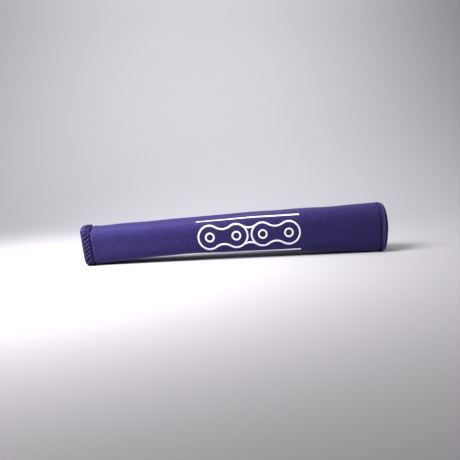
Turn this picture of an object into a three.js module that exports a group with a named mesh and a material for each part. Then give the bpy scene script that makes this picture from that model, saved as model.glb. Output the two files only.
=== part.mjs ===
// A neoprene chainstay protector, closed into the sleeve that it forms round a bicycle's right chainstay.
// One tapered panel is cut from neoprene laminate and overlocked along both ends. Loop tape is sewn on one
// long edge and hook tape under the other, and the two flaps close over each other on the wheel side. A film
// print is pressed on the side that faces away from the wheel.
// Sizes are millimetres. +X runs forward to the bottom bracket, +Y in to the wheel and +Z up. The sleeve
// rests on Z = 0 with the origin under its middle.

import * as THREE from "three";

// The panel's length along the stay, cut edge to cut edge, and its thickness, free and under the overlock.
const PANEL_LENGTH = 252;
const NEOPRENE = 2.5;
const SQUEEZED_NEOPRENE = 1.8;

// What keeps two sewn pieces apart: pile, nap and the slack of the thread.
const SEWN_GAP = 0.3;

// The stay that the sleeve is shaped to: its height at the rear end, a third and two thirds of the way
// forward and at the front end, its depth at both ends, and how far its underside arches over the line
// between the two ends.
const REAR_HEIGHT = 22.7;
const REAR_THIRD_HEIGHT = 21.7;
const FRONT_THIRD_HEIGHT = 29.9;
const FRONT_HEIGHT = 37.2;
const REAR_DEPTH = 20;
const FRONT_DEPTH = 26;
const REAR_THIRD_ARCH = 5;
const FRONT_THIRD_ARCH = 3.1;

// The section's outline is an ellipse raised to these exponents: 2 would be a plain ellipse, and the
// underside is squarer than the top. Towards the rear end the top's printed side is squarer too.
const TOP_EXPONENT = 2.4;
const REAR_SHOULDER_EXPONENT = 4.5;
const UNDERSIDE_EXPONENT = 4;

// The rear end leans: its lower edge lies this far forward of its upper one.
const REAR_RAKE = 2.5;

// The closure: both tapes, how far they lie in from the panel's long edges and short of its ends, and the
// length over which the outer flap climbs over the inner one.
const TAPE_WIDTH = 16;
const TAPE_THICKNESS = 0.8;
const TAPE_INSET = 2;
const TAPE_SHORT = 9;
const FLAP_CLIMB = 10;

// The lockstitch that holds each tape: its place in from the tape's edges, the thread, and how deep the
// seam pulls into the neoprene.
const SEAM_INSET = 2;
const SEAM_THREAD_WIDTH = 0.7;
const SEAM_THREAD_THICKNESS = 0.45;
const SEAM_SINK = 0.7;
const SEAM_SLOPE = 0.35;

// The overlock over each end: its width on the panel, the thread's thickness, how far a stitch's ridge rises
// over it, the distance from stitch to stitch, how far one stitch slants and how many half stitches it takes
// to lie over, how far the edge that it folds round is rounded, and how far the end flares or is drawn in.
const REAR_OVERLOCK_WIDTH = 5.5;
const FRONT_OVERLOCK_WIDTH = 4.6;
const OVERLOCK_THREAD = 0.6;
const REAR_RIDGE = 0.3;
const FRONT_RIDGE = 0.15;
const STITCH_PITCH = 2.6;
const REAR_SLANT = 3;
const FRONT_SLANT = 2;
const SLANT_STEPS = 10;
const EDGE_SHARE = 0.6;
const SHOULDER = 1.8;
const REAR_FLARE = 0.5;
const FRONT_FLARE = -0.35;
const FLARE_REACH = 14;

// How far the overlock is pressed flat where the sleeve rests on it.
const REST_PRESS = 0.35;

// Past the overlock the neoprene comes back to its full thickness over this length.
const REGAIN = 5;

// The print: a drawn length of roller chain between two lines. Its middle's place forward of the rear edge,
// the film's thickness and how far it lies over the panel, its lines' width, the number of pins and the
// distance between them, and the links' round ends, their waists and the pins, as radii or half widths.
const PRINT_CENTRE = 135;
const PRINT_FILM = 0.25;
const PRINT_LIFT = 0.55;
const PRINT_LINE = 1.4;
const PRINT_PINS = 4;
const PRINT_PITCH = 22;
const PRINT_LINK_RADIUS = 10;
const PRINT_WAIST = 6.8;
const PRINT_PIN_RADIUS = 4;

// How finely the faces follow the curves.
const RING_STEPS = 240;
const STATION_SPACING = 26;
const COLUMN_SPACING = 2;
const CLIMB_STEPS = 5;
const TAPE_STEPS = 7;
const ARC_STEPS = 10;
const TANGENT_STEP = 0.4;
const SAME_CORNER = 0.05;

const OVERLAP = TAPE_WIDTH + 2 * TAPE_INSET;
const LAYER_STEP = NEOPRENE + 2 * TAPE_THICKNESS + 3 * SEWN_GAP;
const PANEL_FACE = NEOPRENE / 2;
const PRINT_HEIGHT = FRONT_THIRD_HEIGHT;

const { lerp, clamp, smoothstep } = THREE.MathUtils;

// The stay's height, depth and arch at the four places, as the three channels of one smooth curve.
const stayCurve = new THREE.CatmullRomCurve3(
  [
    new THREE.Vector3(REAR_HEIGHT, REAR_DEPTH, 0),
    new THREE.Vector3(REAR_THIRD_HEIGHT, lerp(REAR_DEPTH, FRONT_DEPTH, 1 / 3), REAR_THIRD_ARCH),
    new THREE.Vector3(FRONT_THIRD_HEIGHT, lerp(REAR_DEPTH, FRONT_DEPTH, 2 / 3), FRONT_THIRD_ARCH),
    new THREE.Vector3(FRONT_HEIGHT, FRONT_DEPTH, 0),
  ],
  false,
  "catmullrom",
);

// How far the overlock between its ridges stands proud of the panel's own face, at an end with this flare.
function overlockProud(flare) {
  return flare + SQUEEZED_NEOPRENE / 2 + SEWN_GAP + OVERLOCK_THREAD - PANEL_FACE;
}

const REAR_STAND = overlockProud(REAR_FLARE) - REST_PRESS;
const FRONT_STAND = overlockProud(FRONT_FLARE) - REST_PRESS;

function signedPower(value, power) {
  return Math.sign(value) * Math.abs(value) ** power;
}

// The panel's middle surface cut across at one place along it: a closed ring of points with its running
// length. It starts half way up the closure side and goes down, out under the stay, up the printed side and
// back over the top. Under each overlock the section keeps its size, so that the sleeve rests flat there.
const rings = new Map();
function ringAt(along) {
  if (rings.has(along)) {
    return rings.get(along);
  }
  const bare = PANEL_LENGTH - REAR_OVERLOCK_WIDTH - FRONT_OVERLOCK_WIDTH;
  const share = clamp((along - REAR_OVERLOCK_WIDTH) / bare, 0, 1);
  const stay = stayCurve.getPoint(share);
  const halfHeight = (stay.x + NEOPRENE) / 2;
  const halfDepth = (stay.y + NEOPRENE) / 2;
  const middle = lerp(REAR_STAND, FRONT_STAND, share) + stay.z + PANEL_FACE + halfHeight;
  const shoulderExponent = lerp(REAR_SHOULDER_EXPONENT, TOP_EXPONENT, share);
  const points = [];
  const lengths = [0];
  for (let i = 0; i <= RING_STEPS; i++) {
    const turn = (2 * Math.PI * i) / RING_STEPS;
    const inward = Math.cos(turn);
    const down = Math.sin(turn);
    const upperExponent = inward < 0 ? shoulderExponent : TOP_EXPONENT;
    const power = 2 / (down > 0 ? UNDERSIDE_EXPONENT : upperExponent);
    const y = halfDepth * signedPower(inward, power);
    points.push(new THREE.Vector2(y, middle - halfHeight * signedPower(down, power)));
    if (i > 0) {
      lengths.push(lengths[i - 1] + points[i].distanceTo(points[i - 1]));
    }
  }
  const ring = {
    points,
    lengths,
    middle,
    halfHeight,
    round: lengths[RING_STEPS],
    printedSide: lengths[RING_STEPS / 2],
    lean: REAR_RAKE * (1 - share),
  };
  rings.set(along, ring);
  return ring;
}

// The point at a running length round the ring, which may be less than nothing or more than once round.
function pointOnRing(ring, round) {
  const wanted = THREE.MathUtils.euclideanModulo(round, ring.round);
  let low = 0;
  let high = RING_STEPS;
  while (high - low > 1) {
    const half = (low + high) >> 1;
    if (ring.lengths[half] <= wanted) {
      low = half;
    } else {
      high = half;
    }
  }
  const share = (wanted - ring.lengths[low]) / (ring.lengths[high] - ring.lengths[low]);
  return ring.points[low].clone().lerp(ring.points[high], share);
}

// The outward normal of a curve of the cross-section, from two of its points.
function outward(curve, round) {
  const along = curve(round + TANGENT_STEP).sub(curve(round - TANGENT_STEP)).normalize();
  return new THREE.Vector2(-along.y, along.x);
}

// How far an end's flare still lifts the wall, at a distance in from each cut edge.
function flareAt(along) {
  const rear = REAR_FLARE * (1 - smoothstep(along, 0, FLARE_REACH));
  const front = FRONT_FLARE * (1 - smoothstep(PANEL_LENGTH - along, 0, FLARE_REACH));
  return rear + front;
}

// The middle surface as it is worn: the ring, with the outer flap lifted over the inner one.
function wornCurve(along) {
  const ring = ringAt(along);
  const flapStart = ring.round - OVERLAP / 2;
  const flare = flareAt(along);
  return (round) => {
    const lift = LAYER_STEP * smoothstep(round, flapStart - FLAP_CLIMB, flapStart - TAPE_INSET / 2);
    const normal = outward((place) => pointOnRing(ring, place), round);
    return pointOnRing(ring, round).addScaledVector(normal, lift + flare);
  };
}

// A place on the flat panel, as the point it takes up when the panel is wrapped. along runs forward from the
// rear edge, round is the running length of the ring there, and off is the height over the middle surface.
function wrap(along, round, off) {
  const ring = ringAt(along);
  const curve = wornCurve(along);
  const point = curve(round).addScaledVector(outward(curve, round), off);
  const lean = (ring.lean * (point.y - ring.middle)) / (2 * ring.halfHeight);
  return new THREE.Vector3(along - PANEL_LENGTH / 2 - lean, point.x, Math.max(point.y, 0));
}

// The inner flap's long edge and the outer flap's, as running lengths on one ring.
function innerEdge() {
  return -OVERLAP / 2;
}

function outerEdge(along) {
  return ringAt(along).round + OVERLAP / 2;
}

// A closed solid between two grids of points with the same rows and columns. Seen from outside the top
// grid, its columns run to the left when its rows run up.
function slab(top, bottom) {
  const rows = top.length;
  const columns = top[0].length;
  const positions = [];
  const faces = [];
  for (const grid of [top, bottom]) {
    for (const row of grid) {
      for (const point of row) {
        positions.push(point.x, point.y, point.z);
      }
    }
  }
  const topAt = (row, column) => row * columns + column;
  const bottomAt = (row, column) => rows * columns + topAt(row, column);
  const quad = (a, b, c, d) => faces.push(a, b, c, a, c, d);
  for (let row = 0; row < rows - 1; row++) {
    for (let column = 0; column < columns - 1; column++) {
      quad(topAt(row, column), topAt(row + 1, column), topAt(row + 1, column + 1), topAt(row, column + 1));
      quad(
        bottomAt(row, column),
        bottomAt(row, column + 1),
        bottomAt(row + 1, column + 1),
        bottomAt(row + 1, column),
      );
    }
    const last = columns - 1;
    quad(topAt(row, 0), bottomAt(row, 0), bottomAt(row + 1, 0), topAt(row + 1, 0));
    quad(topAt(row, last), topAt(row + 1, last), bottomAt(row + 1, last), bottomAt(row, last));
  }
  for (let column = 0; column < columns - 1; column++) {
    const last = rows - 1;
    quad(topAt(0, column), topAt(0, column + 1), bottomAt(0, column + 1), bottomAt(0, column));
    quad(topAt(last, column), bottomAt(last, column), bottomAt(last, column + 1), topAt(last, column + 1));
  }
  const geometry = new THREE.BufferGeometry();
  geometry.setAttribute("position", new THREE.Float32BufferAttribute(positions, 3));
  geometry.setIndex(faces);
  geometry.computeVertexNormals();
  return geometry;
}

function spaced(from, to, spacing) {
  const steps = Math.max(1, Math.ceil(Math.abs(to - from) / spacing));
  return Array.from({ length: steps + 1 }, (_, i) => lerp(from, to, i / steps));
}

const materials = {
  neoprene: new THREE.MeshStandardMaterial({ color: 0x423a76, roughness: 0.9, metalness: 0 }),
  thread: new THREE.MeshStandardMaterial({ color: 0x352e66, roughness: 0.75, metalness: 0 }),
  loop: new THREE.MeshStandardMaterial({ color: 0x2c2752, roughness: 1, metalness: 0 }),
  hook: new THREE.MeshStandardMaterial({ color: 0x25214a, roughness: 0.6, metalness: 0 }),
  print: new THREE.MeshStandardMaterial({ color: 0xefedfb, roughness: 0.5, metalness: 0 }),
};

function piece(name, geometry, material) {
  const mesh = new THREE.Mesh(geometry, material);
  mesh.name = name;
  return mesh;
}

// The neoprene is squeezed under each overlock, most at the cut edge, and comes back to its full thickness
// past it.
function halfThickness(along) {
  const isRear = along < PANEL_LENGTH / 2;
  const fromEnd = isRear ? along : PANEL_LENGTH - along;
  const width = isRear ? REAR_OVERLOCK_WIDTH : FRONT_OVERLOCK_WIDTH;
  const regained = smoothstep(fromEnd, width, width + REGAIN);
  const edge = lerp(EDGE_SHARE, 1, clamp(fromEnd / SHOULDER, 0, 1));
  return (edge * lerp(SQUEEZED_NEOPRENE, NEOPRENE, regained)) / 2;
}

// The two seams of a tape, as distances in from the panel's long edge.
const SEAM_ROWS = [TAPE_INSET + SEAM_INSET, TAPE_INSET + TAPE_WIDTH - SEAM_INSET];

// Across one seam: distances from its middle, each with how far the neoprene is drawn in there.
const CHANNEL_FLOOR = SEAM_THREAD_WIDTH / 2 + SEWN_GAP;
const CHANNEL = [
  [-CHANNEL_FLOOR - SEAM_SLOPE, 0],
  [-CHANNEL_FLOOR, SEAM_SINK],
  [CHANNEL_FLOOR, SEAM_SINK],
  [CHANNEL_FLOOR + SEAM_SLOPE, 0],
];

// Columns across one flap, as distances in from its long edge with how far each is drawn in.
function flapColumns() {
  const columns = [{ inset: 0, sink: 0 }];
  for (const row of SEAM_ROWS) {
    for (const [across, sink] of CHANNEL) {
      columns.push({ inset: row + across, sink });
    }
  }
  const [first, second] = SEAM_ROWS;
  for (const share of [1 / 3, 2 / 3]) {
    columns.push({ inset: lerp(first, second, share), sink: 0 });
  }
  return columns.sort((a, b) => a.inset - b.inset);
}

// The cut panel: the loop tape's seams draw in the inner flap's inside face, and the hook tape's seams the
// outer flap's outside face.
function neoprenePanel() {
  const sewn = (width) => [0, SHOULDER, width, width + REGAIN / 2, width + REGAIN];
  const rear = sewn(REAR_OVERLOCK_WIDTH);
  const front = sewn(FRONT_OVERLOCK_WIDTH).map((inset) => PANEL_LENGTH - inset);
  const plain = spaced(rear.at(-1), front.at(-1), STATION_SPACING).slice(1, -1);
  const stations = [...rear, ...plain, ...front.reverse()];
  const flap = flapColumns();
  const wallSteps = Math.ceil((ringAt(0).round - OVERLAP - FLAP_CLIMB) / COLUMN_SPACING);
  const rows = stations.map((along) => {
    const inner = innerEdge();
    const outer = outerEdge(along);
    const climb = outer - OVERLAP - FLAP_CLIMB;
    const half = halfThickness(along);
    const columns = flap.map(({ inset, sink }) => {
      return { round: inner + inset, outside: half, inside: sink - half };
    });
    for (let i = 0; i <= wallSteps; i++) {
      columns.push({ round: lerp(inner + OVERLAP, climb, i / wallSteps), outside: half, inside: -half });
    }
    for (let i = 1; i <= CLIMB_STEPS; i++) {
      columns.push({ round: lerp(climb, climb + FLAP_CLIMB, i / CLIMB_STEPS), outside: half, inside: -half });
    }
    for (const { inset, sink } of [...flap].reverse()) {
      columns.push({ round: outer - inset, outside: half - sink, inside: -half });
    }
    return { along, columns };
  });
  const face = (side) => rows.map(({ along, columns }) => columns.map((c) => wrap(along, c.round, c[side])));
  return piece("neoprene_panel", slab(face("outside"), face("inside")), materials.neoprene);
}

// A strip along the sleeve, as long as the tapes unless it has stations of its own. from and to place its
// long sides on the ring at each station, and low and high are its faces' heights over the middle surface.
const TAPE_STATIONS = spaced(TAPE_SHORT, PANEL_LENGTH - TAPE_SHORT, STATION_SPACING);
function strip(name, material, { from, to, low, high, columns, stations = TAPE_STATIONS }) {
  const grid = (off) =>
    stations.map((along) =>
      Array.from({ length: columns + 1 }, (_, i) =>
        wrap(along, lerp(from(along), to(along), i / columns), off),
      ),
    );
  return piece(name, slab(grid(high), grid(low)), material);
}

// Loop tape on the outside of the inner flap, and hook tape on the inside of the outer flap.
function tapes() {
  const face = PANEL_FACE + SEWN_GAP;
  return [
    strip("loop_tape", materials.loop, {
      from: () => innerEdge() + TAPE_INSET,
      to: () => innerEdge() + TAPE_INSET + TAPE_WIDTH,
      low: face,
      high: face + TAPE_THICKNESS,
      columns: TAPE_STEPS,
    }),
    strip("hook_tape", materials.hook, {
      from: (along) => outerEdge(along) - TAPE_INSET - TAPE_WIDTH,
      to: (along) => outerEdge(along) - TAPE_INSET,
      low: -face - TAPE_THICKNESS,
      high: -face,
      columns: TAPE_STEPS,
    }),
  ];
}

// The seam threads, each laid in the channel that it pulls into the neoprene: inside the sleeve for the
// loop tape, and outside it for the hook tape.
function seams() {
  const bed = PANEL_FACE - SEAM_SINK + SEWN_GAP;
  const crown = bed + SEAM_THREAD_THICKNESS;
  const half = SEAM_THREAD_WIDTH / 2;
  const [nearEdge, farFromEdge] = SEAM_ROWS;
  const inside = (name, row) =>
    strip(name, materials.thread, {
      from: () => innerEdge() + row - half,
      to: () => innerEdge() + row + half,
      low: -crown,
      high: -bed,
      columns: 1,
    });
  const outside = (name, row) =>
    strip(name, materials.thread, {
      from: (along) => outerEdge(along) - row - half,
      to: (along) => outerEdge(along) - row + half,
      low: bed,
      high: crown,
      columns: 1,
    });
  return [
    inside("loop_tape_seam_upper", nearEdge),
    inside("loop_tape_seam_lower", farFromEdge),
    outside("hook_tape_seam_upper", farFromEdge),
    outside("hook_tape_seam_lower", nearEdge),
  ];
}

// Overlock thread over one cut edge: a band of slanted ridges, folded round the edge of the panel. Each
// corner of its profile is a distance in from the cut edge and a share of the full height, on the outside
// face (1) or the inside face (-1) of the panel.
function overlock(name, isRear) {
  const width = isRear ? REAR_OVERLOCK_WIDTH : FRONT_OVERLOCK_WIDTH;
  const ridge = isRear ? REAR_RIDGE : FRONT_RIDGE;
  const fullSlant = isRear ? REAR_SLANT : FRONT_SLANT;
  const half = SQUEEZED_NEOPRENE / 2 + SEWN_GAP;
  const profile = [
    { inset: width, share: 1, past: 0 },
    { inset: SHOULDER, share: 1, past: 0 },
    { inset: 0, share: EDGE_SHARE, past: 1 },
    { inset: 0, share: -EDGE_SHARE, past: 1 },
    { inset: SHOULDER, share: -1, past: 0 },
    { inset: width, share: -1, past: 0 },
  ];
  const place = (inset) => (isRear ? inset : PANEL_LENGTH - inset);
  const edge = place(0);
  const start = innerEdge() + SEWN_GAP;
  const run = outerEdge(edge) - SEWN_GAP - start;
  const steps = 2 * Math.round(run / STITCH_PITCH);
  const grid = (thickness) =>
    Array.from({ length: steps + 1 }, (_, i) => {
      const thread = thickness(i);
      const laidOver = smoothstep(i, 0, SLANT_STEPS) * smoothstep(steps - i, 0, SLANT_STEPS);
      return profile.map(({ inset, share, past }) => {
        const slant = fullSlant * laidOver * clamp(inset / width, 0, 1);
        const along = place(inset - past * (SEWN_GAP + thread));
        return wrap(along, start + (run * i) / steps + slant, share * (half + thread));
      });
    });
  const outside = grid((i) => OVERLOCK_THREAD + (i % 2 ? ridge : 0));
  const inside = grid(() => 0);
  return piece(name, isRear ? slab(outside, inside) : slab(inside, outside), materials.thread);
}

// The waist between two pins is drawn with arcs that touch the link's round ends: how far each arc's centre
// lies off the chain's line, and its radius.
const WAIST_STEP = PRINT_LINK_RADIUS - PRINT_WAIST;
const WAIST_RADIUS = ((PRINT_PITCH / 2) ** 2 + PRINT_WAIST ** 2 - PRINT_LINK_RADIUS ** 2) / (2 * WAIST_STEP);
const WAIST_CENTRE = PRINT_WAIST + WAIST_RADIUS;
const TOUCH = Math.atan2(WAIST_CENTRE, PRINT_PITCH / 2);

const pinPlace = (pin) => (pin - (PRINT_PINS - 1) / 2) * PRINT_PITCH;

// The outline of a run of links from one pin to another, drawn in from the outer line.
function linkOutline(path, firstPin, lastPin, inset) {
  const round = PRINT_LINK_RADIUS - inset;
  const waist = WAIST_RADIUS + inset;
  path.absarc(pinPlace(lastPin), 0, round, TOUCH - Math.PI, Math.PI - TOUCH, false);
  for (let pin = lastPin; pin > firstPin; pin--) {
    const between = pinPlace(pin) - PRINT_PITCH / 2;
    path.absarc(between, WAIST_CENTRE, waist, -TOUCH, TOUCH - Math.PI, true);
    if (pin - 1 > firstPin) {
      path.absarc(pinPlace(pin - 1), 0, round, TOUCH, Math.PI - TOUCH, false);
    }
  }
  path.absarc(pinPlace(firstPin), 0, round, TOUCH, 2 * Math.PI - TOUCH, false);
  for (let pin = firstPin; pin < lastPin; pin++) {
    const between = pinPlace(pin) + PRINT_PITCH / 2;
    path.absarc(between, -WAIST_CENTRE, waist, Math.PI - TOUCH, TOUCH, true);
    if (pin + 1 < lastPin) {
      path.absarc(pinPlace(pin + 1), 0, round, TOUCH - Math.PI, -TOUCH, false);
    }
  }
  path.closePath();
  return path;
}

// The bare space of an inner link, between the round ends of the outer links before and after it.
function innerLinkSpace(pin) {
  const reach = PRINT_LINK_RADIUS + WAIST_RADIUS;
  const waist = WAIST_RADIUS + PRINT_LINE;
  const corner = (far, near) => Math.acos((reach ** 2 + near ** 2 - far ** 2) / (2 * reach * near));
  const atPin = TOUCH - corner(waist, PRINT_LINK_RADIUS);
  const atWaist = TOUCH + corner(PRINT_LINK_RADIUS, waist);
  const between = pinPlace(pin) + PRINT_PITCH / 2;
  const path = new THREE.Path();
  path.absarc(pinPlace(pin), 0, PRINT_LINK_RADIUS, atPin, -atPin, true);
  path.absarc(between, -WAIST_CENTRE, waist, Math.PI - atWaist, atWaist, true);
  path.absarc(pinPlace(pin + 1), 0, PRINT_LINK_RADIUS, Math.PI + atPin, Math.PI - atPin, true);
  path.absarc(between, WAIST_CENTRE, waist, -atWaist, atWaist - Math.PI, true);
  path.closePath();
  return path;
}

// The corners of a drawn line, without the doubled ones where two of its arcs meet.
function corners(path) {
  const all = path.getPoints(ARC_STEPS);
  return all.filter((point, i) => point.distanceTo(all.at(i - 1)) > SAME_CORNER);
}

// A flat drawing pressed on the printed side: its x runs forward from the print's middle and its y up.
function pressed(name, drawing) {
  const shape = new THREE.Shape(corners(drawing));
  shape.holes = drawing.holes.map((hole) => new THREE.Path(corners(hole)));
  const flat = new THREE.ExtrudeGeometry(shape, { depth: PRINT_FILM, bevelEnabled: false });
  const position = flat.getAttribute("position");
  for (let i = 0; i < position.count; i++) {
    const along = PRINT_CENTRE + position.getX(i);
    const round = ringAt(along).printedSide + position.getY(i);
    const point = wrap(along, round, PANEL_FACE + PRINT_LIFT + position.getZ(i));
    position.setXYZ(i, point.x, point.y, point.z);
  }
  flat.computeVertexNormals();
  return piece(name, flat, materials.print);
}

// A printed line along the sleeve, with its middle at this height on the printed side.
function printedLine(name, height) {
  const half = ((PRINT_PINS - 1) * PRINT_PITCH) / 2 + PRINT_LINK_RADIUS;
  return strip(name, materials.print, {
    from: (along) => ringAt(along).printedSide + height - PRINT_LINE / 2,
    to: (along) => ringAt(along).printedSide + height + PRINT_LINE / 2,
    low: PANEL_FACE + PRINT_LIFT,
    high: PANEL_FACE + PRINT_LIFT + PRINT_FILM,
    columns: 1,
    stations: spaced(PRINT_CENTRE - half, PRINT_CENTRE + half, STATION_SPACING / 2),
  });
}

// The print: outer links joined by inner ones, a ring for each pin, and a line above and below.
function print() {
  const chain = linkOutline(new THREE.Shape(), 0, PRINT_PINS - 1, 0);
  for (let pin = 0; pin < PRINT_PINS; pin += 2) {
    chain.holes.push(linkOutline(new THREE.Path(), pin, pin + 1, PRINT_LINE));
    if (pin + 2 < PRINT_PINS) {
      chain.holes.push(innerLinkSpace(pin + 1));
    }
  }
  const pins = Array.from({ length: PRINT_PINS }, (_, pin) => {
    const ring = new THREE.Shape().absarc(pinPlace(pin), 0, PRINT_PIN_RADIUS, 0, 2 * Math.PI, false);
    const inside = PRINT_PIN_RADIUS - PRINT_LINE;
    ring.holes.push(new THREE.Path().absarc(pinPlace(pin), 0, inside, 0, 2 * Math.PI, true));
    return pressed(`print_pin_${pin + 1}`, ring);
  });
  const line = (PRINT_HEIGHT - PRINT_LINE) / 2;
  return [
    pressed("print_chain", chain),
    ...pins,
    printedLine("print_line_upper", line),
    printedLine("print_line_lower", -line),
  ];
}

const sleeve = new THREE.Group();
sleeve.name = "chainstay_protector";
sleeve.add(
  neoprenePanel(),
  ...tapes(),
  ...seams(),
  overlock("rear_overlock", true),
  overlock("front_overlock", false),
  ...print(),
);

// The origin goes under the middle of the sleeve's box.
const box = new THREE.Box3().setFromObject(sleeve, true);
const middle = box.getCenter(new THREE.Vector3());
sleeve.position.set(-middle.x, -middle.y, -box.min.z);

export default sleeve;
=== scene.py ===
import math

import bpy
import numpy as np
from mathutils import Matrix, Vector


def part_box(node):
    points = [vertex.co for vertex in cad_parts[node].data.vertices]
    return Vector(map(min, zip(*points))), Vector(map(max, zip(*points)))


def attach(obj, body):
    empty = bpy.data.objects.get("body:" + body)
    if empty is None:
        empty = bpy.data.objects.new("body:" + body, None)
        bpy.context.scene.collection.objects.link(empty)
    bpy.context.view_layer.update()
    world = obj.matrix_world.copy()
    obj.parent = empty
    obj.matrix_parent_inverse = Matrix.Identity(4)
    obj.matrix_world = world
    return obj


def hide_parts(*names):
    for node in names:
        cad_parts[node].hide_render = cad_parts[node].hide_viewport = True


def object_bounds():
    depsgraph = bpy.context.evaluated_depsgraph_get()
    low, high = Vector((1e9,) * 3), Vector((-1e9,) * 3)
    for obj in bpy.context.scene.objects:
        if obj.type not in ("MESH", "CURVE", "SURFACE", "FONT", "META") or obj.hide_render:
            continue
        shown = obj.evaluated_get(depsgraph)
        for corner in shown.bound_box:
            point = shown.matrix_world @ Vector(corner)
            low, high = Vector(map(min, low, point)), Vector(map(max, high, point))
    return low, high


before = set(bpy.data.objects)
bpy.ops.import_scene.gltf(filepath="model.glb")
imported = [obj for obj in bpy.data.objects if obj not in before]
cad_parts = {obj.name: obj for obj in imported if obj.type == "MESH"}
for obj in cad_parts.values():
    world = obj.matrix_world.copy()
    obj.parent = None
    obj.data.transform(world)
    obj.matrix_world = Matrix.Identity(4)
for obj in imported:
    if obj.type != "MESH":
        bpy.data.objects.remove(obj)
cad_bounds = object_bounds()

# Camera. The sleeve is seen from its printed side, almost square on: from a little behind its middle and a
# little above it, and tilted so that it climbs to the right.
CAMERA_DISTANCE = 0.4
CAMERA_AZIMUTH = math.radians(-5)
CAMERA_ELEVATION = math.radians(6)
CAMERA_ROLL = math.radians(-2)
PICTURE_WIDTH = 0.396
SLEEVE_RIGHT_OF_CENTRE = 0.0049
SLEEVE_BELOW_CENTRE = 0.0017

sleeve_middle = (cad_bounds[0] + cad_bounds[1]) / 2
towards_camera = Vector((
    math.sin(CAMERA_AZIMUTH) * math.cos(CAMERA_ELEVATION),
    -math.cos(CAMERA_AZIMUTH) * math.cos(CAMERA_ELEVATION),
    math.sin(CAMERA_ELEVATION),
))
camera = bpy.data.objects.new("camera", bpy.data.cameras.new("camera"))
bpy.context.scene.collection.objects.link(camera)
camera_turn = (-towards_camera).to_track_quat("-Z", "Y").to_matrix() @ Matrix.Rotation(CAMERA_ROLL, 3, "Z")
camera_place = (
    sleeve_middle
    + towards_camera * CAMERA_DISTANCE
    - camera_turn @ Vector((SLEEVE_RIGHT_OF_CENTRE, -SLEEVE_BELOW_CENTRE, 0))
)
camera.matrix_world = Matrix.Translation(camera_place) @ camera_turn.to_4x4()
camera.data.angle = 2 * math.atan(PICTURE_WIDTH / 2 / CAMERA_DISTANCE)
bpy.context.scene.camera = camera

# Neoprene panel. One tapered panel of 2.5 mm neoprene foam with knitted jersey on both faces, cut flat,
# wrapped into a sleeve and closed over itself on the side without the print. The overlock squeezes both
# ends and leaves a groove behind it, and the seams of the tapes draw the flaps in. All in millimetres.
PANEL_LENGTH = 252
NEOPRENE = 2.5
REAR_FLARE = 0.5
FRONT_FLARE = -0.35
FLARE_REACH = 14
REAR_RAKE = 2.5
INSIDE_HEIGHTS = (22.7, 21.7, 29.9, 37.2)
INSIDE_DEPTHS = (20, 22, 24, 26)
SLEEVE_ARCH = (0, 5, 3.1, 0)
TOP_EXPONENT = 2.4
REAR_SHOULDER_EXPONENT = 4.5
UNDERSIDE_EXPONENT = 4
REAR_STAND = 0.7
FRONT_STAND = -0.15
REAR_BAND = 5.5
FRONT_BAND = 3.4
TAPE_WIDTH = 16
TAPE_INSET = 2
TAPE_SHORT = 9
OVERLAP = TAPE_WIDTH + 2 * TAPE_INSET
INNER_EDGE = -OVERLAP / 2
LAYER_STEP = 5
FLAP_CLIMB = 16
SEAM_ROWS = (TAPE_INSET + 2, TAPE_INSET + TAPE_WIDTH - 2)
SEAM_SINK = 0.7
SEAM_REACH = 0.7
SQUEEZED_HALF = 0.9
CUT_HALF = 0.5
CUT_ROUNDING = 1.8
BAND_FLOOR_HALF = 0.6
GROOVE_HALF = 0.2
GROOVE_END = 0.7
ROLL_HALF = 1.42
ROLL_TOP = 2.5
ROLL_END = 9
TUCK = 0.14
TUCK_PITCH = 1.7
TUCKS_START = 1.2
TUCKS_END = 9
TUCKS_FADE = 3
UNEVENNESS = 0.13
SHORT_WAVE = 22
WAVE_SPREAD = 30
PUCKER = 0.09
PUCKER_LENGTH = 7.8
PUCKER_REACH = 7
JERSEY_DEEP = (0.0125, 0.0088, 0.060)
JERSEY_PALE = (0.0300, 0.0226, 0.131)
WALE = 0.9
COURSE = 0.75
NAP_HEIGHT = 3.2
NAP_TONE = 3.4
KNIT_TONE = 0.16
CLOUD_TONE = 0.5
TONE_SHIFT = -1.57
CREASE_ANGLE = 55
END_STATIONS = 52
PLAIN_STATIONS = 128
END_REACH = 16
PLACES_ROUND = 210
RING_STEPS = 720


def smooth(value):
    value = np.clip(value, 0, 1)
    return value * value * (3 - 2 * value)


def eased(x, places, values):
    """A smooth run through the values at the given places."""
    i = np.clip(np.searchsorted(places, x, side="right") - 1, 0, len(places) - 2)
    places, values = np.asarray(places, float), np.asarray(values, float)
    share = (x - places[i]) / (places[i + 1] - places[i])
    return values[i] + (values[i + 1] - values[i]) * smooth(share)


def through(values, share):
    """The smooth curve through four evenly spaced values."""
    first, last = 2 * values[0] - values[1], 2 * values[-1] - values[-2]
    run = (first, *values, last)
    i = min(int(share * 3), 2)
    t = share * 3 - i
    before, start, end, after = run[i : i + 4]
    out, into = (end - before) / 2, (after - start) / 2
    return (
        start + out * t
        + (3 * (end - start) - 2 * out - into) * t**2
        + (2 * (start - end) + out + into) * t**3
    )


rings = {}


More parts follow.
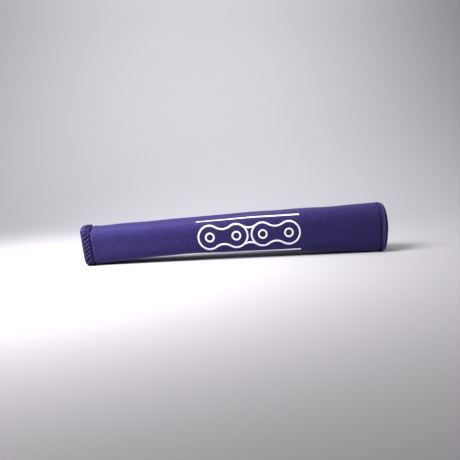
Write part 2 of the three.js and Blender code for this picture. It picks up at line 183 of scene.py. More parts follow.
def ring_at(along):
    """The panel's middle surface cut across the sleeve: y, z and running length from the closure down."""
    if along in rings:
        return rings[along]
    share = float(np.clip((along - REAR_BAND) / (PANEL_LENGTH - REAR_BAND - FRONT_BAND), 0, 1))
    half_height = (through(INSIDE_HEIGHTS, share) + NEOPRENE) / 2
    half_depth = (through(INSIDE_DEPTHS, share) + NEOPRENE) / 2
    stand = REAR_STAND + (FRONT_STAND - REAR_STAND) * share
    middle = stand + through(SLEEVE_ARCH, share) + NEOPRENE / 2 + half_height
    turn = np.linspace(0, 2 * math.pi, RING_STEPS + 1)
    down = np.sin(turn)
    shoulder_exponent = REAR_SHOULDER_EXPONENT + (TOP_EXPONENT - REAR_SHOULDER_EXPONENT) * share
    upper_exponent = np.where(np.cos(turn) < 0, shoulder_exponent, TOP_EXPONENT)
    power = 2 / np.where(down > 0, UNDERSIDE_EXPONENT, upper_exponent)
    y = half_depth * np.sign(np.cos(turn)) * np.abs(np.cos(turn)) ** power
    z = middle - half_height * np.sign(down) * np.abs(down) ** power
    lengths = np.concatenate(([0], np.cumsum(np.hypot(np.diff(y), np.diff(z)))))
    lean = REAR_RAKE * (1 - share) / (2 * half_height)
    rings[along] = (y, z, lengths, middle, lean)
    return rings[along]


def around(along):
    return ring_at(along)[2][-1]


def printed_side(along):
    return ring_at(along)[2][RING_STEPS // 2]


def on_ring(along, place):
    y, z, lengths = ring_at(along)[:3]
    place = np.mod(place, lengths[-1])
    return np.stack((np.interp(place, lengths, y), np.interp(place, lengths, z)), -1)


def outward(curve, place):
    step = curve(place + 0.4) - curve(place - 0.4)
    step /= np.linalg.norm(step, axis=-1, keepdims=True)
    return np.stack((-step[..., 1], step[..., 0]), -1)


def worn(along, place):
    """The middle surface as it is worn, with the outer flap lifted over the inner one."""
    climb_end = around(along) - OVERLAP / 2 - TAPE_INSET / 2
    climb_start = around(along) - OVERLAP / 2 - FLAP_CLIMB
    lift = LAYER_STEP * smooth((place - climb_start) / (climb_end - climb_start)) ** 1.8
    lift = lift + REAR_FLARE * (1 - smooth(along / FLARE_REACH))
    lift = lift + FRONT_FLARE * (1 - smooth((PANEL_LENGTH - along) / FLARE_REACH))
    normal = outward(lambda at: on_ring(along, at), place)
    return on_ring(along, place) + normal * lift[..., None]


def wrap(along, place, off):
    """Points in metres: along from the rear edge, place round the ring, off the middle surface."""
    place = np.asarray(place, float)
    flat = worn(along, place)
    flat = flat + outward(lambda at: worn(along, at), place) * np.asarray(off, float)[..., None]
    middle, lean = ring_at(along)[3:]
    x = along - PANEL_LENGTH / 2 - lean * (flat[..., 1] - middle)
    points = np.stack((x, flat[..., 0], np.maximum(flat[..., 1], 0)), -1) / 1000
    return points + seat


def outer_edge(along):
    return around(along) + OVERLAP / 2


waves = np.random.default_rng(7).uniform(-1, 1, (14, 3))


def unevenness(along, place):
    """The hand-sewn panel is nowhere quite even: long, low waves over the whole of it."""
    total = 0
    for across, down, start in waves:
        length = SHORT_WAVE + WAVE_SPREAD * abs(across)
        total = total + np.sin(2 * math.pi * (along * across + place * down) / length * 1.4 + 9 * start)
    return UNEVENNESS * total / 4


def outer_half(along, place):
    """How far the outer face stands off the middle surface."""
    at_rear = along < PANEL_LENGTH / 2
    from_end = along if at_rear else PANEL_LENGTH - along
    band = REAR_BAND if at_rear else FRONT_BAND
    groove = (band - 0.3, band + GROOVE_END)
    places = (0, CUT_ROUNDING, *groove, band + ROLL_TOP, band + ROLL_END, 1000)
    band_halves = (CUT_HALF, BAND_FLOOR_HALF, BAND_FLOOR_HALF, GROOVE_HALF)
    halves = (*band_halves, ROLL_HALF, NEOPRENE / 2, NEOPRENE / 2)
    half = eased(np.full_like(place, from_end), places, halves)
    past = max(from_end - band, 0)
    ripple = np.sin(2 * math.pi * place / PUCKER_LENGTH)
    pucker = PUCKER * math.exp(-((past / PUCKER_REACH) ** 2)) * ripple
    tucks_in = smooth((past - TUCKS_START) / (TUCKS_FADE / 2))
    tucks_out = smooth((TUCKS_END - past) / TUCKS_FADE)
    in_tucks = 0 if at_rear else tucks_in * tucks_out
    tuck = TUCK * in_tucks * math.cos(2 * math.pi * past / TUCK_PITCH)
    free = smooth(past / 6)
    return half + free * unevenness(along, place) + min(past, 1) * pucker - tuck


def seam_sink(inset):
    return SEAM_SINK * sum(np.exp(-(((inset - row) / SEAM_REACH) ** 2)) for row in SEAM_ROWS)


def grid_faces(index):
    """The four corners of each face of a grid of numbered points."""
    return np.stack((index[:-1, :-1], index[1:, :-1], index[1:, 1:], index[:-1, 1:]), -1).reshape(-1, 4)


def slab(name, top, bottom, uv):
    """A closed sheet between two grids, with walls round it."""
    rows, columns = top.shape[:2]
    vertices = np.concatenate((top.reshape(-1, 3), bottom.reshape(-1, 3)))
    index = np.arange(rows * columns).reshape(rows, columns)
    rim = np.concatenate((index[0, :], index[1:, -1], index[-1, -2::-1], index[-2:0:-1, 0]))
    after = np.roll(rim, -1)
    under = rows * columns
    faces = np.concatenate((
        grid_faces(index),
        under + grid_faces(index)[:, ::-1],
        np.stack((rim, after, after + under, rim + under), -1),
    ))
    mesh = bpy.data.meshes.new(name)
    mesh.from_pydata(vertices.tolist(), [], faces.tolist())
    flat = np.concatenate((uv.reshape(-1, 2), uv.reshape(-1, 2)))
    layer = mesh.uv_layers.new(name="flat")
    layer.data.foreach_set("uv", flat[faces.reshape(-1)].astype(np.float32).reshape(-1))
    mesh.shade_smooth()
    mesh.set_sharp_from_angle(angle=math.radians(CREASE_ANGLE))
    return mesh


def piece(name, mesh, node, slot, *materials):
    """Puts a mesh in the scene in the place of the model's own solid of that name."""
    made = bpy.data.objects.new(name, mesh)
    bpy.context.scene.collection.objects.link(made)
    for material in materials:
        mesh.materials.append(material)
    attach(made, "root")
    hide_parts(node)
    return made


def material_tree(name):
    material = bpy.data.materials.new(name)
    material.use_nodes = True
    return material, material.node_tree


def add(tree, kind, inputs=(), **settings):
    """A shader node with its settings, and with its inputs set to values or joined to sockets."""
    made = tree.nodes.new(kind)
    for key, value in settings.items():
        setattr(made, key, value)
    for key, value in dict(inputs).items():
        if isinstance(value, bpy.types.NodeSocket):
            tree.links.new(value, made.inputs[key])
        else:
            made.inputs[key].default_value = value
    return made


def sum_of(tree, operation, *inputs):
    return add(tree, "ShaderNodeMath", dict(enumerate(inputs)), operation=operation).outputs[0]


def blend_colours(tree, share, first, second):
    mix = add(tree, "ShaderNodeMix", {0: share}, data_type="RGBA")
    for key, value in ((6, first), (7, second)):
        if isinstance(value, bpy.types.NodeSocket):
            tree.links.new(value, mix.inputs[key])
        else:
            mix.inputs[key].default_value = (*value, 1)
    return mix.outputs[2]


def jersey(name, deep, pale):
    """Knitted jersey: rows of small slanted stitches with a fine nap, a little uneven in colour."""
    material, tree = material_tree(name)
    shader = tree.nodes["Principled BSDF"]
    flat = add(tree, "ShaderNodeUVMap", uv_map="flat").outputs[0]
    split = add(tree, "ShaderNodeSeparateXYZ", {0: flat})
    wale = sum_of(tree, "FRACT", sum_of(tree, "DIVIDE", split.outputs[1], WALE))
    from_middle = sum_of(tree, "ABSOLUTE", sum_of(tree, "SUBTRACT", wale, 0.5))
    course = sum_of(tree, "ADD", sum_of(tree, "DIVIDE", split.outputs[0], COURSE), from_middle)
    stitch = sum_of(tree, "COSINE", sum_of(tree, "MULTIPLY", course, 2 * math.pi))
    off_leg = sum_of(tree, "MULTIPLY", sum_of(tree, "SUBTRACT", from_middle, 0.25), 2 * math.pi)
    leg = sum_of(tree, "COSINE", off_leg)
    knit = sum_of(tree, "MULTIPLY", leg, sum_of(tree, "MULTIPLY_ADD", stitch, 0.25, 0.75))
    nap_look = {"Vector": flat, "Scale": 0.55, "Detail": 4.0, "Roughness": 0.75}
    nap = add(tree, "ShaderNodeTexNoise", nap_look)
    cloud = add(tree, "ShaderNodeTexNoise", {"Vector": flat, "Scale": 0.11, "Detail": 2.0})
    height = sum_of(tree, "MULTIPLY_ADD", nap.outputs[0], NAP_HEIGHT, knit)
    bump = add(tree, "ShaderNodeBump", {"Strength": 0.7, "Distance": 0.00014, "Height": height})
    share = sum_of(tree, "MULTIPLY_ADD", nap.outputs[0], NAP_TONE, TONE_SHIFT)
    share = sum_of(tree, "MULTIPLY_ADD", knit, KNIT_TONE, share)
    share = sum_of(tree, "MULTIPLY_ADD", cloud.outputs[0], CLOUD_TONE, share)
    share = add(tree, "ShaderNodeClamp", {0: share}).outputs[0]
    tree.links.new(blend_colours(tree, share, deep, pale), shader.inputs["Base Color"])
    tree.links.new(bump.outputs[0], shader.inputs["Normal"])
    shader.inputs["Roughness"].default_value = 0.82
    shader.inputs["Specular IOR Level"].default_value = 0.14
    shader.inputs["Sheen Weight"].default_value = 0.25
    shader.inputs["Sheen Roughness"].default_value = 0.5
    shader.inputs["Sheen Tint"].default_value = (0.45, 0.4, 0.8, 1)
    return material


def stations():
    """Places along the panel, close together where the overlocks pull it in."""
    fine = np.linspace(0, END_REACH, END_STATIONS)
    plain = np.linspace(END_REACH, PANEL_LENGTH - END_REACH, PLAIN_STATIONS)[1:-1]
    return np.concatenate((fine, plain, PANEL_LENGTH - fine[::-1]))


seat = np.zeros(3)
across = np.linspace(0, 1, PLACES_ROUND)
outer, inner, flat = [], [], []
for along in stations():
    along = float(along)
    place = INNER_EDGE + (outer_edge(along) - INNER_EDGE) * across
    half = outer_half(along, place)
    from_outer_edge = outer_edge(along) - place
    from_inner_edge = place - INNER_EDGE
    in_seam = TAPE_SHORT < along < PANEL_LENGTH - TAPE_SHORT
    outer.append(wrap(along, place, half - in_seam * seam_sink(from_outer_edge)))
    inner.append(wrap(along, place, in_seam * seam_sink(from_inner_edge) - half))
    flat.append(np.stack((np.full_like(place, along), place), -1))
outer, inner, flat = np.array(outer), np.array(inner), np.array(flat)
both_faces = np.concatenate((outer, inner))
panel_box = np.array([both_faces.min((0, 1)), both_faces.max((0, 1))])
cad_panel = np.array([list(corner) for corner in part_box("neoprene_panel")])
seat = cad_panel.mean(0) - panel_box.mean(0)
seat[2] = 0
outer, inner = outer + seat, inner + seat
panel = piece(
    "neoprene_wrap",
    slab("neoprene_wrap", outer, inner, flat),
    "neoprene_panel",
    "neoprene",
    jersey("jersey", JERSEY_DEEP, JERSEY_PALE),
)
mean_width = float(np.mean([outer_edge(along) - INNER_EDGE for along in stations()])) / 1000
(outer_edge(PANEL_LENGTH) - INNER_EDGE) / 1000

# Loop tape. A 16 mm woven tape with a brushed pile, sewn on the outside of the inner flap.
TAPE_THICKNESS = 0.8
TAPE_GAP = 0.3
PILE_TUFT = 0.16
TUFTS_ACROSS = 44
TUFTS_ALONG = 300
LOOP_DEEP = (0.018, 0.014, 0.052)
LOOP_PALE = (0.046, 0.038, 0.120)


def tape(name, node, slot, from_edge, low, high, rough, material):
    """A tape along the sleeve between two heights off the middle surface, with a rough upper face."""
    tufts = np.random.default_rng(len(name))
    top, bottom, flat = [], [], []
    across = np.linspace(TAPE_INSET, TAPE_INSET + TAPE_WIDTH, TUFTS_ACROSS)
    for along in np.linspace(TAPE_SHORT, PANEL_LENGTH - TAPE_SHORT, TUFTS_ALONG):
        along = float(along)
        place = from_edge(along, across)
        nap = rough * tufts.uniform(-1, 0, place.shape)
        top.append(wrap(along, place, high + (nap if high > 0 else 0)))
        bottom.append(wrap(along, place, low - (nap if high < 0 else 0)))
        flat.append(np.stack((np.full_like(place, along), place), -1))
    top, bottom, flat = np.array(top), np.array(bottom), np.array(flat)
    if from_edge is outer_flap:
        top, bottom, flat = top[:, ::-1], bottom[:, ::-1], flat[:, ::-1]
    return piece(name, slab(name, top, bottom, flat), node, slot, material)


def speckled(name, deep, pale, scale, roughness, sheen):
    """Woven tape: a fine, matt, speckled cloth."""
    material, tree = material_tree(name)
    shader = tree.nodes["Principled BSDF"]
    flat = add(tree, "ShaderNodeUVMap", uv_map="flat").outputs[0]
    grain = add(tree, "ShaderNodeTexVoronoi", {"Vector": flat, "Scale": scale})
    bump = add(tree, "ShaderNodeBump", {"Strength": 0.8, "Distance": 0.0002, "Height": grain.outputs[0]})
    tree.links.new(blend_colours(tree, grain.outputs[0], deep, pale), shader.inputs["Base Color"])
    tree.links.new(bump.outputs[0], shader.inputs["Normal"])
    shader.inputs["Roughness"].default_value = roughness
    shader.inputs["Sheen Weight"].default_value = sheen
    return material


def inner_flap(along, inset):
    return INNER_EDGE + inset


def outer_flap(along, inset):
    return outer_edge(along) - inset


tape_bed = NEOPRENE / 2 + TAPE_GAP
tape("loop_tape_pile", "loop_tape", "loop", inner_flap, tape_bed, tape_bed + TAPE_THICKNESS, PILE_TUFT,
     speckled("loop_pile", LOOP_DEEP, LOOP_PALE, 1.6, 1, 0.4))

# Hook tape. The other half of the closure: a 16 mm tape of stiff nylon hooks, sewn under the outer flap.
HOOK_TUFT = 0.22
HOOK_DEEP = (0.012, 0.010, 0.040)
HOOK_PALE = (0.040, 0.034, 0.110)
tape("hook_tape_hooks", "hook_tape", "hook", outer_flap, -tape_bed - TAPE_THICKNESS, -tape_bed, HOOK_TUFT,
     speckled("hook_nylon", HOOK_DEEP, HOOK_PALE, 1.1, 0.45, 0))

# Seams of the loop tape. Two rows of lockstitch in bonded polyester thread, 3 mm to the stitch. They show
# inside the sleeve, each stitch lying in the channel that it pulls and diving at its needle holes.
STITCH = 3
THREAD_RADIUS = 0.23
THREAD_LIFT = 1.25 * THREAD_RADIUS
THREAD_TWIST = 1.1
STITCH_DIVE = 0.45
STITCH_STEPS = 10
THREAD_DEEP = (0.020, 0.016, 0.080)
THREAD_PALE = (0.055, 0.044, 0.190)


def tube(path, radius, sides=8, taper=0):
    """A round thread along a path of points in metres: its grid of points and its flat places."""
    path = np.asarray(path)
    path[:, 2] = np.maximum(path[:, 2], radius / 1000)
    ahead = np.gradient(path, axis=0)
    ahead /= np.linalg.norm(ahead, axis=1, keepdims=True)
    side = np.cross(ahead[0], (0.3, 0.5, 0.81))
    sides_of = []
    for direction in ahead:
        side = side - direction * side.dot(direction)
        side /= np.linalg.norm(side)
        sides_of.append(side)
    sides_of = np.array(sides_of)
    up = np.cross(ahead, sides_of)
    angle = 2 * math.pi * np.arange(sides) / sides
    reach = np.full(len(path), radius / 1000)
    if taper:
        reach[:taper] *= np.linspace(0.05, 1, taper)
        reach[-taper:] *= np.linspace(1, 0.05, taper)
    ringed = sides_of[:, None] * np.cos(angle)[:, None] + up[:, None] * np.sin(angle)[:, None]
    run = np.concatenate(([0], np.cumsum(np.linalg.norm(np.diff(path, axis=0), axis=1)))) * 1000
    flat = np.stack(np.broadcast_arrays(run[:, None], angle[None] / (2 * math.pi)), -1)
    return path[:, None] + ringed * reach[:, None, None], flat


def threads(name, paths, node, materials, taper=0):
    """Threads along several paths, in one piece. Each is a path, a radius and the place of its material."""
    vertices, faces, flat, of_material = [], [], [], []
    first = 0
    for path, radius, material in paths:
        grid, places = tube(path, radius, taper=taper)
        rows, sides = grid.shape[:2]
        index = first + np.arange(rows * sides).reshape(rows, sides)
        index = np.concatenate((index, index[:, :1]), 1)
        corners = (index[:-1, :-1], index[:-1, 1:], index[1:, 1:], index[1:, :-1])
        faces += np.stack(corners, -1).reshape(-1, 4).tolist()
        faces += [index[0, :-1][::-1].tolist(), index[-1, :-1].tolist()]
        of_material += [material] * (len(faces) - len(of_material))
        vertices.append(grid.reshape(-1, 3))
        flat.append(places.reshape(-1, 2))
        first += rows * sides
    flat = np.concatenate(flat)
    mesh = bpy.data.meshes.new(name)
    mesh.from_pydata(np.concatenate(vertices).tolist(), [], faces)
    layer = mesh.uv_layers.new(name="flat")
    corners = np.array([corner for face in faces for corner in face])
    layer.data.foreach_set("uv", flat[corners].astype(np.float32).reshape(-1))
    mesh.polygons.foreach_set("material_index", of_material)
    mesh.shade_smooth()
    return piece(name, mesh, node, "thread", *materials)


def yarn(name, deep, pale, twist):
    """Plied thread: slanted plies round it, painted paler on their crowns as highlight and deeper between
    them as shade, with pale flecks of painted glint on its filaments.
    """
    material, tree = material_tree(name)
    shader = tree.nodes["Principled BSDF"]
    flat = add(tree, "ShaderNodeUVMap", uv_map="flat").outputs[0]
    split = add(tree, "ShaderNodeSeparateXYZ", {0: flat})
    turn = sum_of(tree, "ADD", sum_of(tree, "DIVIDE", split.outputs[0], twist), split.outputs[1])
    ply = sum_of(tree, "SINE", sum_of(tree, "MULTIPLY", turn, 4 * math.pi))
    place = add(tree, "ShaderNodeTexCoord").outputs["Object"]
    painted_glint = add(tree, "ShaderNodeTexNoise", {"Vector": place, "Scale": 900.0, "Detail": 2.0})
    # Painted highlight and shade: the colour follows the ply relief, paler on the crowns and deeper between
    # them, and pale noise flecks paint the glint of the filaments.
    share = sum_of(tree, "MULTIPLY_ADD", ply, 0.28, painted_glint.outputs[0])
    share = add(tree, "ShaderNodeClamp", {0: share}).outputs[0]
    bump = add(tree, "ShaderNodeBump", {"Strength": 0.8, "Distance": 0.0001, "Height": share})
    tree.links.new(blend_colours(tree, share, deep, pale), shader.inputs["Base Color"])
    tree.links.new(bump.outputs[0], shader.inputs["Normal"])
    shader.inputs["Roughness"].default_value = 0.65
    shader.inputs["Specular IOR Level"].default_value = 0.16
    shader.inputs["Sheen Weight"].default_value = 0.12
    shader.inputs["Sheen Tint"].default_value = (0.4, 0.35, 0.8, 1)
    return material


def lockstitch(name, node, flap, inset, facing):
    """One row of stitches down a flap, facing 1 outside the sleeve or -1 inside it."""
    length = PANEL_LENGTH - 2 * TAPE_SHORT
    count = round(length / STITCH)
    path = []
    for i in range(count * STITCH_STEPS + 1):
        along = TAPE_SHORT + length * i / (count * STITCH_STEPS)
        dive = STITCH_DIVE * abs(math.cos(math.pi * i / STITCH_STEPS)) ** 8
        crown = NEOPRENE / 2 - SEAM_SINK + THREAD_LIFT - dive
        path.append(wrap(along, [flap(along, inset)], [facing * crown])[0])
    return threads(name, [(path, THREAD_RADIUS, 0)], node, [seam_yarn])


seam_yarn = yarn("seam_yarn", THREAD_DEEP, THREAD_PALE, THREAD_TWIST)
lockstitch("loop_stitches_upper", "loop_tape_seam_upper", inner_flap, SEAM_ROWS[0], -1)
lockstitch("loop_stitches_lower", "loop_tape_seam_lower", inner_flap, SEAM_ROWS[1], -1)

# Seams of the hook tape. The same two rows of lockstitch, sewn through the outer flap from the outside.
# They show along the closure.
lockstitch("hook_stitches_upper", "hook_tape_seam_upper", outer_flap, SEAM_ROWS[1], 1)
lockstitch("hook_stitches_lower", "hook_tape_seam_lower", outer_flap, SEAM_ROWS[0], 1)

# Rear overlock. Bulky thread looped over the cut edge at the low end, so dense that each stitch stands up
# as a slanted rope. A needle thread holds the loops down along their inner ends.
REAR_PITCH = 3.1
REAR_SLANT = 3.8
REAR_PLIES = 3
REAR_PLY = 0.5
REAR_SPREAD = 0.58
REAR_CROWN = 0.45
REAR_SWELL = 2.2
REAR_SWELL_REACH = 7
REAR_NEEDLE_INSET = 5
REAR_NEEDLE_HEIGHT = -0.45
REAR_NEEDLE_RADIUS = 0.24
BULKY_DEEP = (0.008, 0.006, 0.036)
BULKY_PALE = (0.040, 0.032, 0.145)
BULKY_TWIST = 2.2
SLANT_EASE = 13
END_CLEARANCE = 0.9
TURN_IN = 1.25
LOOP_SLACK = 0.15
PAST_BAND = 0.3
TUCKED_IN = 0.5
TUCKED_FROM = 0.5
TUCKED_OVER = 0.8
GATHERED_FROM = 0.2
GATHERED_OVER = 1.6
UNSTEADINESS = 0.1
NEEDLE_SAG = 0.5


def overlock(name, node, at_rear, stitch, swelling, needle, materials):
    """Loops of several plies round a cut edge, side by side over it and gathered towards the groove."""
    pitch, slant, plies, ply, spread, crown = stitch
    swell, swell_reach = swelling
    needle_inset, needle_height, needle_radius = needle
    band = REAR_BAND if at_rear else FRONT_BAND
    cut = 0 if at_rear else PANEL_LENGTH
    inward = 1 if at_rear else -1
    start = INNER_EDGE + END_CLEARANCE
    run = outer_edge(cut) - END_CLEARANCE - start
    count = round(run / pitch)
    top = SQUEEZED_HALF + ply
    fullest = ring_at(cut)[2][RING_STEPS * 3 // 4 if at_rear else RING_STEPS // 2] - start

    def laid(run_place, inset, off):
        ease = smooth(run_place / SLANT_EASE) * smooth((run - run_place) / SLANT_EASE)
        place = start + run_place + slant * ease * min(max(inset / band, 0), 1)
        along = float(np.clip(cut + inward * inset, -3, PANEL_LENGTH + 3))
        return wrap(along, [place], [off])[0]

    outer_part = [(inset, 1) for inset in np.linspace(band + PAST_BAND, TURN_IN, 9)[:-1]]
    inner_part = [(inset, -1) for inset, side in outer_part[::-1]]
    turns = np.radians(np.linspace(90, -90, 11))
    unsteady = UNSTEADINESS * pitch * np.random.default_rng(count).uniform(-1, 1, count)
    paths = []
    for i in range(count):
        here = run * (i + 0.5) / count + unsteady[i]
        bulge = ply + LOOP_SLACK + swell * math.exp(-(((here - fullest) / swell_reach) ** 2))
        over_edge = [(TURN_IN - (TURN_IN + bulge) * math.cos(turn), math.sin(turn)) for turn in turns]
        for j in range(plies):
            aside = (j - (plies - 1) / 2) / ((plies - 1) / 2)
            apart = aside * (plies - 1) / 2 * run / count / plies
            path = []
            for inset, side in outer_part + over_edge + inner_part:
                gathered = smooth((inset - GATHERED_FROM) / GATHERED_OVER)
                tucked = TUCKED_IN * smooth((inset - band + TUCKED_FROM) / TUCKED_OVER)
                height = top + crown * gathered * (1 - aside**2) - tucked
                place = here + apart * (1 - (1 - spread) * gathered)
                path.append(laid(place, inset, side * height))
            paths.append((path, ply, 0))
    for i in range(count - 1):
        path = []
        for t in np.linspace(0, 1, 9):
            height = top + crown + needle_height - NEEDLE_SAG * abs(2 * t - 1) ** 4
            path.append(laid(run * (i + 0.6 + 0.8 * t) / count, needle_inset, height))
        paths.append((path, needle_radius, 1))
    return threads(name, paths, node, materials, taper=1)


overlock(
    "rear_overlock_loops", "rear_overlock", True,
    stitch=(REAR_PITCH, REAR_SLANT, REAR_PLIES, REAR_PLY, REAR_SPREAD, REAR_CROWN),
    swelling=(REAR_SWELL, REAR_SWELL_REACH),
    needle=(REAR_NEEDLE_INSET, REAR_NEEDLE_HEIGHT, REAR_NEEDLE_RADIUS),
    materials=[yarn("bulky_yarn", BULKY_DEEP, BULKY_PALE, BULKY_TWIST), seam_yarn],
)

# Front overlock. The same stitch in finer thread, flatter and closer. Its needle stitches show as pale
# dashes down the middle of the band.
FRONT_PITCH = 2.5
FRONT_SLANT = 2
FRONT_PLIES = 4
FRONT_PLY = 0.36
FRONT_SPREAD = 0.86
FRONT_CROWN = 0.06
FRONT_SWELL = 1
FRONT_SWELL_REACH = 12
FRONT_NEEDLE_INSET = 1.7
FRONT_NEEDLE_HEIGHT = 0.26
FRONT_NEEDLE_RADIUS = 0.26
FINE_TWIST = 1.8
NEEDLE_DEEP = (0.060, 0.050, 0.170)
NEEDLE_PALE = (0.200, 0.170, 0.420)
NEEDLE_TWIST = 1.2
fine_yarn = yarn("fine_yarn", BULKY_DEEP, BULKY_PALE, FINE_TWIST)
needle_yarn = yarn("needle_yarn", NEEDLE_DEEP, NEEDLE_PALE, NEEDLE_TWIST)
overlock(
    "front_overlock_loops", "front_overlock", False,
    stitch=(FRONT_PITCH, FRONT_SLANT, FRONT_PLIES, FRONT_PLY, FRONT_SPREAD, FRONT_CROWN),
    swelling=(FRONT_SWELL, FRONT_SWELL_REACH),
    needle=(FRONT_NEEDLE_INSET, FRONT_NEEDLE_HEIGHT, FRONT_NEEDLE_RADIUS),
    materials=[fine_yarn, needle_yarn],
)

# Print. A white film pressed on the printed side: a length of roller chain drawn in line between two
# lines. It takes the grain of the jersey under it.
PRINT_CENTRE = 135
PRINT_LINE = 1.4
PRINT_FILM = 0.16
PRINT_PITCH = 22
LINK_RADIUS = 10
LINK_WAIST = 6.8
PIN_RADIUS = 4
PRINT_HEIGHT = 29.9
FILM_WHITE = (0.86, 0.84, 0.95)
FILM_WORN = (0.62, 0.58, 0.80)
half_line = PRINT_LINE / 2
waist_radius = ((PRINT_PITCH / 2) ** 2 + LINK_WAIST**2 - LINK_RADIUS**2) / (2 * (LINK_RADIUS - LINK_WAIST))
waist_centre = LINK_WAIST + waist_radius
touch = math.atan2(waist_centre, PRINT_PITCH / 2)


def arc(x, y, radius, start, end):
    count = max(3, math.ceil(abs(end - start) * radius / 0.5))
    angle = np.linspace(start, end, count)
    return np.stack((x + radius * np.cos(angle), y + radius * np.sin(angle)), -1)


def pin_place(pin):
    return (pin - 1.5) * PRINT_PITCH


def film(name, node, lines):
    """Printed lines on the cloth. Each is a list of points, forward and up from the print's middle."""
    profile = np.array([(-1, 0.35), (-0.8, 0.9), (0, 1), (0.8, 0.9), (1, 0.35), (0.9, 0), (-0.9, 0)])
    vertices, faces = [], []
    for line, closed in lines:
        ahead = np.roll(line, -1, 0) - np.roll(line, 1, 0) if closed else np.gradient(line, axis=0)
        ahead /= np.linalg.norm(ahead, axis=1, keepdims=True)
        rows = []
        for (x, y), (dx, dy) in zip(line, ahead):
            aside = half_line * profile[:, 0]
            row = []
            for shift, height in zip(aside, profile[:, 1]):
                along = float(PRINT_CENTRE + x - dy * shift)
                place = np.array([printed_side(along) + y + dx * shift])
                off = outer_half(along, place) + 0.03 + PRINT_FILM * height
                row.append(wrap(along, place, off)[0])
            rows.append(row)
        first = len(vertices)
        count, sides = len(rows), len(profile)
        vertices += [point for row in rows for point in row]
        for i in range(count if closed else count - 1):
            for j in range(sides):
                a, b = first + i * sides, first + (i + 1) % count * sides
                faces.append((a + j, b + j, b + (j + 1) % sides, a + (j + 1) % sides))
        if not closed:
            last = first + (count - 1) * sides
            faces.append([first + j for j in range(sides)])
            faces.append([last + j for j in range(sides)][::-1])
    mesh = bpy.data.meshes.new(name)
    mesh.from_pydata(np.array(vertices).tolist(), [], faces)
    mesh.shade_smooth()
    return piece(name, mesh, node, "print", white_film)


white_film, tree = material_tree("white_film")
shader = tree.nodes["Principled BSDF"]
place = add(tree, "ShaderNodeTexCoord").outputs["Object"]
grain = add(tree, "ShaderNodeTexNoise", {"Vector": place, "Scale": 1500.0, "Detail": 3.0})
wear = add(tree, "ShaderNodeTexNoise", {"Vector": place, "Scale": 260.0, "Detail": 4.0, "Roughness": 0.7})
worn_share = sum_of(tree, "MULTIPLY_ADD", wear.outputs[0], 3.0, -1.3)
worn_share = add(tree, "ShaderNodeClamp", {0: worn_share}).outputs[0]
tree.links.new(blend_colours(tree, worn_share, FILM_WHITE, FILM_WORN), shader.inputs["Base Color"])
bump = add(tree, "ShaderNodeBump", {"Strength": 0.5, "Distance": 0.00008, "Height": grain.outputs[0]})
tree.links.new(bump.outputs[0], shader.inputs["Normal"])
shader.inputs["Roughness"].default_value = 0.55

link_round, link_waist = LINK_RADIUS - half_line, waist_radius + half_line
outline = [arc(pin_place(3), 0, link_round, touch - math.pi, math.pi - touch)]
for pin in (3, 2, 1):
    outline.append(arc(pin_place(pin) - PRINT_PITCH / 2, waist_centre, link_waist, -touch, touch - math.pi))
    if pin > 1:
        outline.append(arc(pin_place(pin - 1), 0, link_round, touch, math.pi - touch))
outline.append(arc(pin_place(0), 0, link_round, touch, 2 * math.pi - touch))
for pin in (0, 1, 2):
    outline.append(arc(pin_place(pin) + PRINT_PITCH / 2, -waist_centre, link_waist, math.pi - touch, touch))
    if pin < 2:
        outline.append(arc(pin_place(pin + 1), 0, link_round, touch - math.pi, -touch))
outline = np.concatenate([part[:-1] for part in outline])
ends = touch + 0.12
film("print_chain_film", "print_chain", [
    (outline, True),
    (arc(pin_place(1), 0, link_round, -ends, ends), False),
    (arc(pin_place(2), 0, link_round, math.pi - ends, math.pi + ends), False),
])
for pin in range(4):
    ringed = arc(pin_place(pin), 0, PIN_RADIUS - half_line, 0, 2 * math.pi)[:-1]
    film(f"print_pin_film_{pin + 1}", f"print_pin_{pin + 1}", [(ringed, True)])
half_length = 1.5 * PRINT_PITCH + LINK_RADIUS
for name, side in (("upper", 1), ("lower", -1)):
    height = side * (PRINT_HEIGHT - PRINT_LINE) / 2
    line = np.stack((np.linspace(-half_length, half_length, 130), np.full(130, height)), -1)
    film(f"print_line_film_{name}", f"print_line_{name}", [(line, False)])

# Floor. A plain pale sheet that sweeps up close behind the sleeve, so that no edge of it shows.
FLOOR_REACH = 4
SWEEP_START = 0.35
SWEEP_RADIUS = 0.5
SWEEP_STEPS = 24
SWEEP_TOP = 3
PAPER_COLOUR = (0.46, 0.45, 0.465)
floor_rows = [(-FLOOR_REACH, 0), (SWEEP_START, 0)]
for step in range(1, SWEEP_STEPS + 1):
    angle = math.radians(90 * step / SWEEP_STEPS)
    behind = SWEEP_START + SWEEP_RADIUS * math.sin(angle)
    floor_rows.append((behind, SWEEP_RADIUS * (1 - math.cos(angle))))
floor_rows.append((SWEEP_START + SWEEP_RADIUS, SWEEP_TOP))
floor_grid = np.array([[(x, y, z) for x in (-FLOOR_REACH, FLOOR_REACH)] for y, z in floor_rows])
floor_index = np.arange(2 * len(floor_rows)).reshape(-1, 2)
floor_mesh = bpy.data.meshes.new("floor")
floor_mesh.from_pydata(floor_grid.reshape(-1, 3).tolist(), [], grid_faces(floor_index).tolist())
floor_mesh.shade_smooth()
floor = bpy.data.objects.new("floor", floor_mesh)
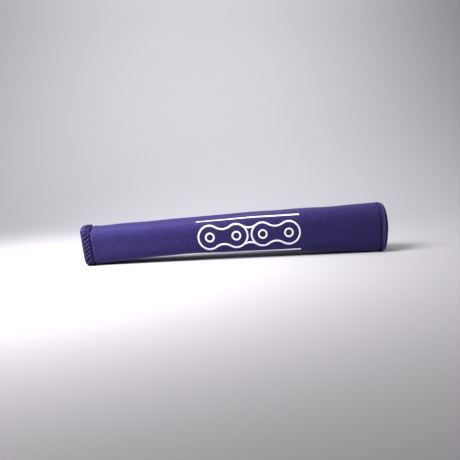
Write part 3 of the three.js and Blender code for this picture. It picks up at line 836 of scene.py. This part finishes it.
bpy.context.scene.collection.objects.link(floor)
paper, tree = material_tree("paper")
tree.nodes["Principled BSDF"].inputs["Base Color"].default_value = (*PAPER_COLOUR, 1)
tree.nodes["Principled BSDF"].inputs["Roughness"].default_value = 0.9
floor_mesh.materials.append(paper)

# Light. A soft window at the upper left, turned to the rear half so that the right end lies darker, a lamp
# over the sweep behind, and a weak sky.
WINDOW_PLACE = (-0.3, -0.16, 0.36)
WINDOW_AIM = (-0.09, 0, 0.03)
WINDOW_SIZE = 0.26
WINDOW_SPREAD = math.radians(88)
WINDOW_POWER = 1.7
WINDOW_COLOUR = (1, 0.98, 1)
SWEEP_LAMP_PLACE = (0, 0.3, 1.0)
SWEEP_LAMP_AIM = (0, 0.85, 0.25)
SWEEP_LAMP_SIZE = 1
SWEEP_LAMP_SPREAD = math.radians(130)
SWEEP_LAMP_POWER = 9.5
SWEEP_LAMP_COLOUR = (0.96, 0.95, 1)
SKY_COLOUR = (0.95, 0.92, 0.92)
SKY_STRENGTH = 0.13


def lamp(name, place, target, size, spread, power, colour):
    light = bpy.data.lights.new(name, "AREA")
    light.size = size
    light.spread = spread
    light.energy = power
    light.color = colour
    made = bpy.data.objects.new(name, light)
    made.location = place
    made.rotation_euler = (Vector(target) - Vector(place)).to_track_quat("-Z", "Y").to_euler()
    bpy.context.scene.collection.objects.link(made)


lamp("window", WINDOW_PLACE, WINDOW_AIM, WINDOW_SIZE, WINDOW_SPREAD, WINDOW_POWER, WINDOW_COLOUR)
lamp("sweep_lamp", SWEEP_LAMP_PLACE, SWEEP_LAMP_AIM, SWEEP_LAMP_SIZE, SWEEP_LAMP_SPREAD,
     SWEEP_LAMP_POWER, SWEEP_LAMP_COLOUR)
sky = bpy.data.worlds.new("sky")
sky.use_nodes = True
sky.node_tree.nodes["Background"].inputs[0].default_value = (*SKY_COLOUR, 1)
sky.node_tree.nodes["Background"].inputs[1].default_value = SKY_STRENGTH
bpy.context.scene.world = sky
bpy.context.scene.view_settings.view_transform = "Standard"
